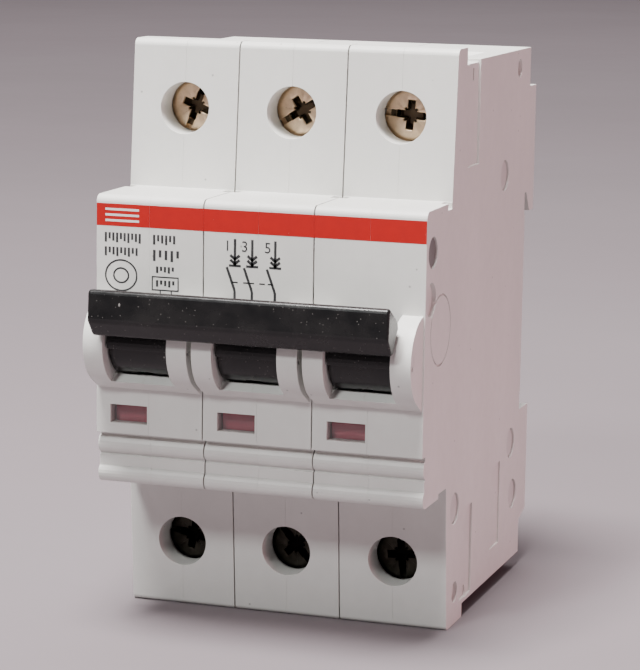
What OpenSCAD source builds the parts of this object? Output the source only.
// Three-pole miniature circuit breaker for a 35 mm DIN rail.
// X runs across the poles, Y runs from the front (-Y) to the rail (+Y), and Z is up.
// The origin is where the middle pole seats on the rail, at half the rail's height.

/* [Housing] */
// Width of one pole
pole_w = 17.5; // [17.2:0.1:17.8]
// Gap between two poles, as moulded
pole_gap = 0.2; // [0.1:0.05:0.3]
// Height of the terminal blocks, from lip to foot
body_h = 90; // [90:0.5:92]
// Distance from the rail seat to the label face
face_depth = 58; // [57.8:0.1:58.2]
// Height of the front block that passes through a cover plate
block_h = 44.4; // [44:0.1:44.8]
// Thickness of the side walls
wall = 1.3; // [1.1:0.1:1.4]

/* [Handle] */
// Radius of the round cheeks beside each toggle
cheek_r = 6.8; // [6.6:0.1:6.9]
// Half of the slot between two cheeks
slot_half = 5.15; // [5.1:0.05:5.2]
// Radius of the toggle's drum
drum_r = 5; // [4.8:0.1:5]
// Length of the tie bar across the three toggles
tie_l = 47; // [45:0.5:48]
// Swing of the handle from on to off, in degrees
handle_swing = 62; // [58:1:62]

/* [Terminals] */
// Height of the terminal screws above and below the rail's centre
screw_z = 34.5; // [34:0.1:35]
// Radius of the screwdriver hole in the shoulder
access_r = 4; // [3.8:0.1:4.1]
// Radius of the terminal screw's thread
thread_r = 2.5; // [2.3:0.1:2.5]
// Radius of the terminal screw's head
head_r = 4.2; // [4.1:0.05:4.3]

/* [Windows] */
// Width of each position window
window_w = 6.05; // [5.8:0.05:6.1]
// Height of each position window
window_h = 2.85; // [2.6:0.05:2.9]

/* [Fits] */
// Radial clearance of pins that turn in plastic or brass
run_gap = 0.05; // [0.03:0.01:0.08]

/* [Hidden] */
$fn = 48;
POLES = [1, 2, 3];
PER_POLE = ["left_shell", "right_shell", "toggle", "top_screw", "top_cage", "bottom_screw",
            "bottom_cage", "top_terminal", "bottom_terminal", "contact_arm", "link", "coil",
            "plunger", "bimetal", "arc_chute", "flag", "rail_clip"];
SHARED = ["tie_bar", "trip_bar", "tie_rivets", "window_lenses", "magnet_yokes",
          "fixed_contacts", "contact_springs", "braids"];

// Housing: heights and depths of the outline.
half_w = (pole_w - pole_gap) / 2;
room_x = half_w - wall;
top_z = body_h / 2;
deck_z = top_z - 2.2;
groove_z = deck_z - 0.5;
block_z = block_h / 2;
face_y = -face_depth;
neck_y = -44.6;
lip_y = -42.9;
lip_back_y = -37.8;
deck_front_y = -30;
foot_back_y = -34;
rear_y = 1.4;
hook_y = 5.5;
seat_half = 15;
relief_y = -0.3;
front_wall = 1.7;
rib_low = 26.8;
rib_high = 28.3;

// Handle: the pivot, the neck that carries the tie bar, and the crank that the link is pinned to.
pivot_y = -57.3;
toggle_half = slot_half - 0.3;
stub_r = 1.2;
drum_gap = 0.2;
neck_r = drum_r + 0.8;
crank_r = 3.6;
crank_angle = -108;
crank_y = pivot_y + crank_r * cos(crank_angle);
crank_z = crank_r * sin(crank_angle);
link_pin_r = 0.8;
bar_gap = 0.8;
// Below this angle around the pivot, the cheeks and the lip between them run out in a straight ramp.
ramp_angle = 240;

// Contact arm: its pivot and the eye that the link pulls.
arm_y = -38;
arm_z = -2;
arm_pin_r = 1.5;
eye_y = -39;
eye_z = -10;
// Room around the link's pin in the eye, since the two follow the handle on slightly different arcs.
eye_gap = 0.95;
contact_z = 7;
contact_x = 0.5;
contact_face_y = -28.9;

// Trip bar, coil and bimetal strip.
trip_y = -54.5;
trip_z = 15.8;
trip_r = 1.4;
trip_lane = [3.2, 4.9];
coil_y = -38.3;

// Position flag.
flag_y = -50.4;
flag_z = -11.5;
flag_r = 5.4;
flag_pin_r = 0.8;
window_x = -0.3;

// Terminals.
lip_screw_y = -38.9;
room_front_y = -36.2;
bar_front_y = -25;
bar_back_y = -23.5;
bar_half = 4.3;
cage_front_y = -31.4;
cage_back_y = -15;
port_front_y = -23.2;
port_back_y = -15.4;
port_half = 4.6;

// Places of the tie rivets, as [y, z].
RIVETS = [[-13.8, 23.1], [-5.6, -22.5], [-39.5, -26.2], [-3.6, -31.6]];
rivet_r = 1.5;
rivet_head_r = 2.3;
side_recess = 0.7;
// Shallow round marks of the moulding tool on both sides of a pole, as [y, z, radius].
MARKS = [[-5.6, 39.8, 1.5], [-55.1, 8.8, 2.6], [-38.5, -39.8, 1.65], [-31.9, -41.3, 0.95]];

// The ramp leaves the cheek's circle at a tangent and ends on the label face.
ramp_start = [pivot_y + cheek_r * cos(ramp_angle), cheek_r * sin(ramp_angle)];
ramp_end_z = ramp_start[1] + (face_y - ramp_start[0]) * tan(ramp_angle - 90);
ramp_end = [face_y, ramp_end_z];

function pole_x(pole) = (pole - 2) * pole_w;
function arc(y, z, r, from, to, steps = 8) =
    [for (k = [0:steps]) let (a = from + (to - from) * k / steps) [y + r * cos(a), z + r * sin(a)]];
function span(middle, half) = [middle - half, middle + half];
function upside_down(points) = [for (p = points) [p[0], -p[1]]];

// An outline drawn in (y, z), extruded along X.
module slab(x0, x1) {
    translate([x0, 0, 0]) rotate([90, 0, 90]) linear_extrude(x1 - x0) children();
}

module bar_x(y, z, r, x0, x1) {
    translate([x0, y, z]) rotate([0, 90, 0]) cylinder(h = x1 - x0, r = r);
}

module bar_y(x, z, r, y0, y1) {
    translate([x, y0, z]) rotate([-90, 0, 0]) cylinder(h = y1 - y0, r = r);
}

module block(x, y, z) {
    translate([x[0], y[0], z[0]]) cube([x[1] - x[0], y[1] - y[0], z[1] - z[0]]);
}

// A flat strip in (y, z) with round ends, from one point to another.
module strip(from, to, half, x0, x1) {
    run = to - from;
    slab(x0, x1) translate(from) rotate(atan2(run[1], run[0]))
        translate([0, -half]) square([norm(run), 2 * half]);
    bar_x(from[0], from[1], half, x0, x1);
    bar_x(to[0], to[1], half, x0, x1);
}

// A round wire swept along points, as one closed polyhedron.
module wire(points, r, sides = 6) {
    last = len(points) - 1;
    rings = [for (k = [0:last])
        let (d = points[min(k + 1, last)] - points[max(k - 1, 0)],
             u = cross(d, [0, 0.3, 1]),
             v = cross(d, u))
        for (s = [0:sides - 1])
            points[k] + r * (u / norm(u) * cos(360 * s / sides) + v / norm(v) * sin(360 * s / sides))];
    skin = [for (k = [0:last - 1]) for (s = [0:sides - 1])
        let (t = (s + 1) % sides)
        [k * sides + s, k * sides + t, (k + 1) * sides + t, (k + 1) * sides + s]];
    polyhedron(rings, concat(skin, [[for (s = [0:sides - 1]) sides - 1 - s]],
                             [[for (s = [0:sides - 1]) last * sides + s]]));
}

// ---- Housing ----

function outline() = concat(
    arc(lip_y + 1.2, top_z - 1.2, 1.2, 90, 180),
    [[neck_y, block_z]],
    arc(face_y + 1.2, block_z - 1.2, 1.2, 90, 180),
    [[face_y, -14.6], [-56.4, -14.6], [-56.4, -15.1]],
    arc(-55.9, -16.6, 1.5, 109.5, 250.5),
    [[-56.4, -18.3], [-56.7, -18.3], [-56.7, -20]],
    arc(-55.9, 1.45 - 0.45 - block_z, 1.45, 124, 270),
    [[-48.9, -block_z - 0.45], [-48.9, -21.9], [neck_y, -21.9]],
    arc(lip_y + 0.8, 0.8 - top_z, 0.8, 180, 270),
    [[foot_back_y, -top_z], [foot_back_y, -deck_z], [rear_y, -deck_z], [rear_y, -37.2],
     [hook_y, -36], [hook_y, -17.8], [relief_y, -17.8], [relief_y, -seat_half],
     [0, -seat_half], [0, seat_half], [relief_y, seat_half], [relief_y, 18.8], [0.8, 18.8],
     [3, 15.5], [hook_y, 15.5], [hook_y, 36.4], [rear_y, 36.4], [rear_y, deck_z],
     [deck_front_y, deck_z], [deck_front_y, groove_z], [lip_back_y, groove_z],
     [lip_back_y, top_z]]);

function mechanism_room() = [
    [face_y + front_wall, 20.6], [lip_y - 0.1, 20.6], [lip_y + 0.3, rib_low], [-1.9, rib_low],
    [-1.9, -rib_low], [lip_y + 0.3, -rib_low], [lip_y - 0.1, -20.9], [-55.3, -20.9],
    [-55.3, -14], [face_y + front_wall, -13]];

function terminal_room() = [
    [room_front_y, rib_high], [-12.5, rib_high], [-12.5, deck_z - 1.6], [room_front_y, deck_z - 1.6]];

function rear_room() = [[-11, rib_high], [-1.4, rib_high], [-1.4, deck_z - 1.6], [-11, deck_z - 1.6]];

module rooms() {
    polygon(mechanism_room());
    for (points = [terminal_room(), rear_room()]) {
        polygon(points);
        polygon(upside_down(points));
    }
}

// The lip below a toggle, with a slope on top that the toggle's neck comes down on.
function lip() = [
    ramp_start + 0.1 * (ramp_end - ramp_start), [-58.9, -4.94], [pivot_y, -4.9],
    [face_y + front_wall, -4.9], [face_y + front_wall, ramp_end_z], ramp_end];

// What is cut from the outside of one side face.
module side_marks() {
    deep = half_w - side_recess;
    for (m = MARKS) bar_x(m[0], m[1], m[2], deep, half_w + 1);
    for (r = RIVETS) bar_x(r[0], r[1], rivet_head_r + 0.2, deep, half_w + 1);
    bar_x(trip_y, trip_z, 2.4, deep, half_w + 1);
    // Knock-out disc for a neighbouring accessory.
    difference() {
        bar_x(-49.6, 3.5, 5.5, half_w - 0.35, half_w + 1);
        bar_x(-49.6, 3.5, 5.2, half_w - 1, half_w + 2);
    }
    // Guide channels beside the terminals, and the shallow name panel.
    block([half_w - 0.4, half_w + 1], [-36.4, deck_front_y], [26.6, top_z + 1]);
    block([deep, half_w + 1], [-33.2, -32.4], [39.6, 41.6]);
    block([half_w - 0.4, half_w + 1], [-36, -29], [-42, -27.5]);
    block([half_w - 0.3, half_w + 1], [-17.6, -12], [-38, -24.3]);
    // Notch between the front block and the shoulder.
    block([half_w - 1.2, half_w + 1], [-46.8, neck_y - 0.1], [block_z - 1, block_z + 1]);
}

// The ways in for the cable, the screwdriver and the terminal bar, above the rail.
module terminal_ways() {
    bar_y(0, screw_z, access_r, lip_y - 4, lip_screw_y);
    bar_y(0, screw_z, head_r + 0.3, lip_screw_y, room_front_y + 0.1);
    block([-1, port_half], [port_front_y, port_back_y], [deck_z - 2, deck_z + 1]);
    slab(-1, port_half + 0.6) polygon([[port_front_y, deck_z - 0.6], [port_back_y, deck_z - 0.6],
                                       [port_back_y + 0.7, deck_z + 0.1],
                                       [port_front_y - 0.7, deck_z + 0.1]]);
    block([-1, bar_half + 0.4], [bar_front_y - 0.4, bar_back_y + 0.4], [rib_low - 0.5, rib_high + 0.5]);
}

// The channel that the rail clip slides in.
module clip_channel() {
    block([-1, 3.3], [0.9, hook_y + 1], [-top_z, -seat_half]);
    block([-1, 4.5], [1.7, 3.5], [-34.8, -21.7]);
}

// Half of one pole's shell, from the mid seam at x = 0 outwards to the side face.
module half_shell() {
    difference() {
        union() {
            difference() {
                slab(0, half_w) polygon(outline());
                slab(-1, room_x) rooms();
            }
            bar_x(pivot_y, 0, cheek_r, slot_half, half_w - 0.3);
            slab(0, half_w - 0.3) polygon(lip());
            slab(slot_half, half_w - 0.3) polygon([[pivot_y, 0], ramp_start, ramp_end, [face_y + 1, ramp_end_z]]);
            for (r = RIVETS) bar_x(r[0], r[1], 2.6, 0, half_w - 1);
            children();
        }
        side_marks();
        bar_x(pivot_y, 0, drum_r + drum_gap, -1, slot_half);
        bar_x(pivot_y, 0, stub_r + run_gap, slot_half - 1, 7.3);
        block([-1, 1.2], [pivot_y + 0.2, face_y + front_wall + 0.1], [-5.9, -4]);
        bar_x(pivot_y - 5.9, -0.3, 0.4, half_w - 0.7, half_w + 1);
        bar_x(trip_y, trip_z, trip_r + run_gap, room_x - 1, half_w + 1);
        for (r = RIVETS) bar_x(r[0], r[1], rivet_r + 0.1, -1, half_w + 1);
        terminal_ways();
        mirror([0, 0, 1]) terminal_ways();
        clip_channel();
    }
}

module left_shell(pole) {
    color("gainsboro") translate([pole_x(pole), 0, 0]) difference() {
        mirror([1, 0, 0]) half_shell() {
            bar_x(flag_y, flag_z, flag_pin_r, 1.8, room_x + 0.1);
            bar_x(flag_y, flag_z, 1.6, 6.6, room_x + 0.1);
            bar_x(arm_y, arm_z, arm_pin_r, 0.5, room_x + 0.1);
        }
        block([window_x - window_w, window_x], [face_y - 1, face_y + front_wall + 0.1],
              span(flag_z, window_h / 2));
    }
}

module right_shell(pole) {
    color("gainsboro") translate([pole_x(pole), 0, 0]) half_shell() {
        bar_x(arm_y, arm_z, arm_pin_r, 0.6, room_x + 0.1);
        bar_x(arm_y, arm_z, 2.6, 4.4, room_x + 0.1);
    }
}

module tie_rivets() {
    reach = pole_w * 1.5 - pole_gap / 2 - side_recess;
    color("whitesmoke") for (r = RIVETS) {
        bar_x(r[0], r[1], rivet_r, -reach, reach);
        for (side = [-1, 1]) translate([side * (reach + 0.2), 0, 0])
            bar_x(r[0], r[1], rivet_head_r, -0.2, 0.2);
    }
}

module window_lenses() {
    gap = 0.05;
    color("firebrick", 0.5) for (pole = POLES)
        block(span(pole_x(pole) + window_x - window_w / 2, window_w / 2 - gap),
              [face_y + 0.5, face_y + 1.3], span(flag_z, window_h / 2 - gap));
}

// ---- Handle ----

// The tongue of a toggle, grown by g where the tie bar makes room for it.
function tongue(g) = [[-61, 4 + g], [-63.2, 5.9 + g], [-65.9 - g, 7.2 + g], [-65.9 - g, 4.9 - g],
                      [-63.9, 2.4 - 2 * g], [-62.6, 1.2 - 2 * g]];

module toggle(pole) {
    neck = concat([[pivot_y, 0]], arc(pivot_y, 0, neck_r, 105, 247 - handle_swing, 16));
    color("black") translate([pole_x(pole), 0, 0]) difference() {
        union() {
            bar_x(pivot_y, 0, drum_r, -toggle_half, toggle_half);
            bar_x(pivot_y, 0, stub_r, -7, 7);
            slab(-toggle_half, toggle_half) polygon(neck);
            slab(-toggle_half, toggle_half) polygon(tongue(0));
        }
        slab(-1.1, 1.1) polygon(concat(arc(crank_y, crank_z, 12, -95, 0),
                                       arc(crank_y, crank_z, 1.35, 80, 200)));
        bar_x(crank_y, crank_z, link_pin_r + run_gap, -3.4, 3.4);
    }
}

module tie_bar() {
    inner_r = cheek_r + bar_gap;
    color("black") difference() {
        slab(-tie_l / 2, tie_l / 2) polygon(concat(
            [[-62.9, 6.8]], arc(-66.9, 8.3, 0.8, 64, 168), [[-68, 4.4], [-66, 1.9]],
            arc(pivot_y, 0, inner_r, 165, 133)));
        for (pole = POLES) translate([pole_x(pole), 0, 0])
            slab(-toggle_half - 0.15, toggle_half + 0.15) polygon(tongue(0.1));
    }
}

module link(pole) {
    color("silver") translate([pole_x(pole), 0, 0]) {
        strip([crank_y, crank_z], [eye_y, eye_z], 1.1, -0.8, 0.8);
        bar_x(crank_y, crank_z, link_pin_r, -3.2, 3.2);
        bar_x(eye_y, eye_z, link_pin_r, -0.8, 3);
    }
}

// ---- Contacts and arc chute ----

module contact_arm(pole) {
    color("peru") translate([pole_x(pole), 0, 0]) difference() {
        union() {
            strip([eye_y, eye_z], [arm_y, arm_z], 2, 1.1, 2.6);
            strip([arm_y, arm_z], [-31.4, 6.2], 1.6, 1.1, 2.6);
            bar_x(eye_y, eye_z, 3, 1.1, 2.6);
            bar_x(arm_y, arm_z, 2.8, 1.1, 4.1);
            block([-1.2, 2.6], [contact_face_y - 2.6, contact_face_y - 1], span(contact_z, 1.8));
            bar_y(contact_x, contact_z, 1.6, contact_face_y - 1, contact_face_y);
        }
        bar_x(arm_y, arm_z, arm_pin_r + run_gap, 0, 5);
        bar_x(eye_y, eye_z, link_pin_r + eye_gap, 0, 5);
    }
}

module fixed_contacts() {
    color("peru") for (pole = POLES) translate([pole_x(pole), 0, 0]) {
        block([-2.5, 2.5], [-27.4, -26], [-15, 15]);
        block([-2.5, 2.5], [-32, -26], [13.8, 15]);
        bar_y(contact_x, contact_z, 1.6, contact_face_y + 0.2, -27.4);
    }
}

module contact_springs() {
    turns = 5;
    steps = 12;
    color("silver") for (pole = POLES) wire([for (k = [0:turns * steps])
        [pole_x(pole) - 4.4 + 0.66 * k / steps,
         arm_y + 2.4 * cos(360 * k / steps),
         arm_z + 2.4 * sin(360 * k / steps)]], 0.25);
}

module arc_chute(pole) {
    plates = 10;
    color("dimgray") translate([pole_x(pole), 0, 0]) {
        for (side = [-1, 1]) translate([side * 6.9, 0, 0])
            block([-0.3, 0.3], [-19.5, -4], [-16.4, 12.2]);
        for (k = [0:plates - 1]) translate([0, 0, -15 + 2.8 * k]) linear_extrude(1)
            polygon([[-6.7, -18.5], [-3.2, -18.5], [0, -12.5], [3.2, -18.5], [6.7, -18.5],
                     [6.7, -5], [-6.7, -5]]);
    }
}

// ---- Trip unit ----

module trip_bar() {
    end_x = pole_w * 1.5 - pole_gap / 2 - 0.3;
    color("dimgray") {
        bar_x(trip_y, trip_z, trip_r, -end_x, end_x);
        for (side = [-1, 1]) translate([side * (end_x - 0.15), 0, 0])
            bar_x(trip_y, trip_z, 2.3, -0.15, 0.15);
        for (pole = POLES) translate([pole_x(pole), 0, 0]) {
            slab(trip_lane[0], trip_lane[1]) polygon([
                [-55.6, 14], [-55.6, 17.2], [-53, 17.2], [-51, 14.3], [-37.2, 14.2],
                [-37.2, 12.7], [-47.4, 12.7], [-47.4, -8], [-48.8, -8], [-48.8, 12.7]]);
            block([-1.2, trip_lane[0] + 0.1], [-39.4, -37.2], [12.7, 14.2]);
        }
    }
}

module coil(pole) {
    turns = 8;
    wire_r = 0.5;
    core_r = 3.5;
    color("sienna") translate([pole_x(pole), coil_y, 17.3]) rotate_extrude() {
        translate([2.6, 0]) square([core_r - 2.6, 8.4]);
        for (k = [0:turns - 1]) translate([core_r, 0.6 + 1.02 * k]) circle(wire_r, $fn = 16);
    }
}

module magnet_yokes() {
    color("slategray") for (pole = POLES) translate([pole_x(pole), 0, 0]) difference() {
        union() {
            block([-6.9, 6.9], [-42.4, -32.5], [15.9, 17.1]);
            block([-6.9, 6.9], [-33.7, -32.5], [15.9, 26.6]);
            block([-6.9, 6.9], [-42.2, -32.5], [25.8, 26.6]);
        }
        translate([0, coil_y, 15]) cylinder(h = 3, r = 1 + run_gap);
    }
}

module plunger(pole) {
    color("silver") translate([pole_x(pole), coil_y, 0]) {
        translate([0, 0, 14.5]) cylinder(h = 5.4, r = 1);
        translate([0, 0, 19.8]) cylinder(h = 5.7, r = 2.2);
    }
}

module bimetal(pole) {
    color("darkkhaki") translate([pole_x(pole), 0, 0])
        block([3.2, 6.4], [-46.5, -45.7], [-18.8, -4.5]);
}

module braids() {
    color("chocolate") for (pole = POLES) translate([pole_x(pole), 0, 0])
        slab(3.4, 5.4) polygon(concat(arc(-43.6, -12, 2, 180, 360, 12), arc(-43.6, -12, 1.4, 360, 180, 12)));
}

module flag(pole) {
    wedge = concat([[flag_y, flag_z]], arc(flag_y, flag_z, flag_r, 129, 197));
    rim = concat(arc(flag_y, flag_z, flag_r, 129, 197), arc(flag_y, flag_z, flag_r - 0.8, 197, 129));
    color("crimson") translate([pole_x(pole), 0, 0]) difference() {
        union() {
            slab(-6.3, -5.3) polygon(wedge);
            slab(-6.3, -0.4) polygon(rim);
            bar_x(flag_y, flag_z, 1.6, -6.3, -2);
        }
        bar_x(flag_y, flag_z, flag_pin_r + run_gap, -7, 0);
    }
}

// ---- Terminals ----

module terminal_screw() {
    slot = 1.2;
    cross_l = 4.8;
    difference() {
        union() {
            bar_y(0, screw_z, head_r, lip_screw_y + 0.3, -36.4);
            bar_y(0, screw_z, thread_r, -36.5, bar_front_y - 0.3);
        }
        translate([0, lip_screw_y, screw_z]) {
            block([-head_r - 1, head_r + 1], [-1, 1.3], [-slot / 2, slot / 2]);
            for (turn = [0, 90]) rotate([0, turn, 0])
                block([-cross_l / 2, cross_l / 2], [-1, 1.9], [-0.7, 0.7]);
        }
    }
}

module cage() {
    difference() {
        block([-5.9, 5.9], [cage_front_y, cage_back_y], span(screw_z, 5.3));
        block([-4.7, 4.7], [cage_front_y + 2.5, cage_back_y - 1.5], span(screw_z, 6));
        bar_y(0, screw_z, thread_r + run_gap, cage_front_y - 1, cage_front_y + 3);
    }
}

module top_screw(pole) {
    color("goldenrod") translate([pole_x(pole), 0, 0]) terminal_screw();
}

module bottom_screw(pole) {
    color("goldenrod") translate([pole_x(pole), 0, 0]) mirror([0, 0, 1]) terminal_screw();
}

module top_cage(pole) {
    color("silver") translate([pole_x(pole), 0, 0]) cage();
}

module bottom_cage(pole) {
    color("silver") translate([pole_x(pole), 0, 0]) mirror([0, 0, 1]) cage();
}

module top_terminal(pole) {
    color("peru") translate([pole_x(pole), 0, 0]) {
        block([-bar_half, bar_half], [bar_front_y, bar_back_y], [20, 40.3]);
        block([-bar_half, bar_half], [-32.2, bar_back_y], [18.8, 20]);
    }
}

module bottom_terminal(pole) {
    color("peru") translate([pole_x(pole), 0, 0]) {
        block([-bar_half, bar_half], [bar_front_y, bar_back_y], [-40.3, -20]);
        block([-bar_half, bar_half], [-46.5, bar_back_y], [-20, -18.8]);
        block([-6.9, 6.9], [-46.5, -44], [-20, -18.8]);
    }
}

// ---- Rail clip ----

module rail_clip(pole) {
    color("darkgray") translate([pole_x(pole), 0, 0]) difference() {
        union() {
            slab(-3, 3) polygon([[1.3, -15.3], [2.2, -15.3], [4.9, -18.6], [4.9, -36.3], [3.4, -37.3],
                                 [3.4, -42.6], [1.7, -42.6], [1.7, -36.6], [1.3, -36.2]]);
            block([-4.2, 4.2], [2, 3.2], [-31, -22]);
        }
        block([-1.8, 1.8], [1, 4], [-41.4, -40]);
    }
}

module pole_part(name, pole) {
    if (name == "left_shell") left_shell(pole);
    if (name == "right_shell") right_shell(pole);
    if (name == "toggle") toggle(pole);
    if (name == "top_screw") top_screw(pole);
    if (name == "top_cage") top_cage(pole);
    if (name == "bottom_screw") bottom_screw(pole);
    if (name == "bottom_cage") bottom_cage(pole);
    if (name == "top_terminal") top_terminal(pole);
    if (name == "bottom_terminal") bottom_terminal(pole);
    if (name == "contact_arm") contact_arm(pole);
    if (name == "link") link(pole);
    if (name == "coil") coil(pole);
    if (name == "plunger") plunger(pole);
    if (name == "bimetal") bimetal(pole);
    if (name == "arc_chute") arc_chute(pole);
    if (name == "flag") flag(pole);
    if (name == "rail_clip") rail_clip(pole);
}

for (p = POLES) for (name = PER_POLE)
    pole_part(name, p);
tie_bar();
trip_bar();
tie_rivets();
window_lenses();
magnet_yokes();
fixed_contacts();
contact_springs();
braids();
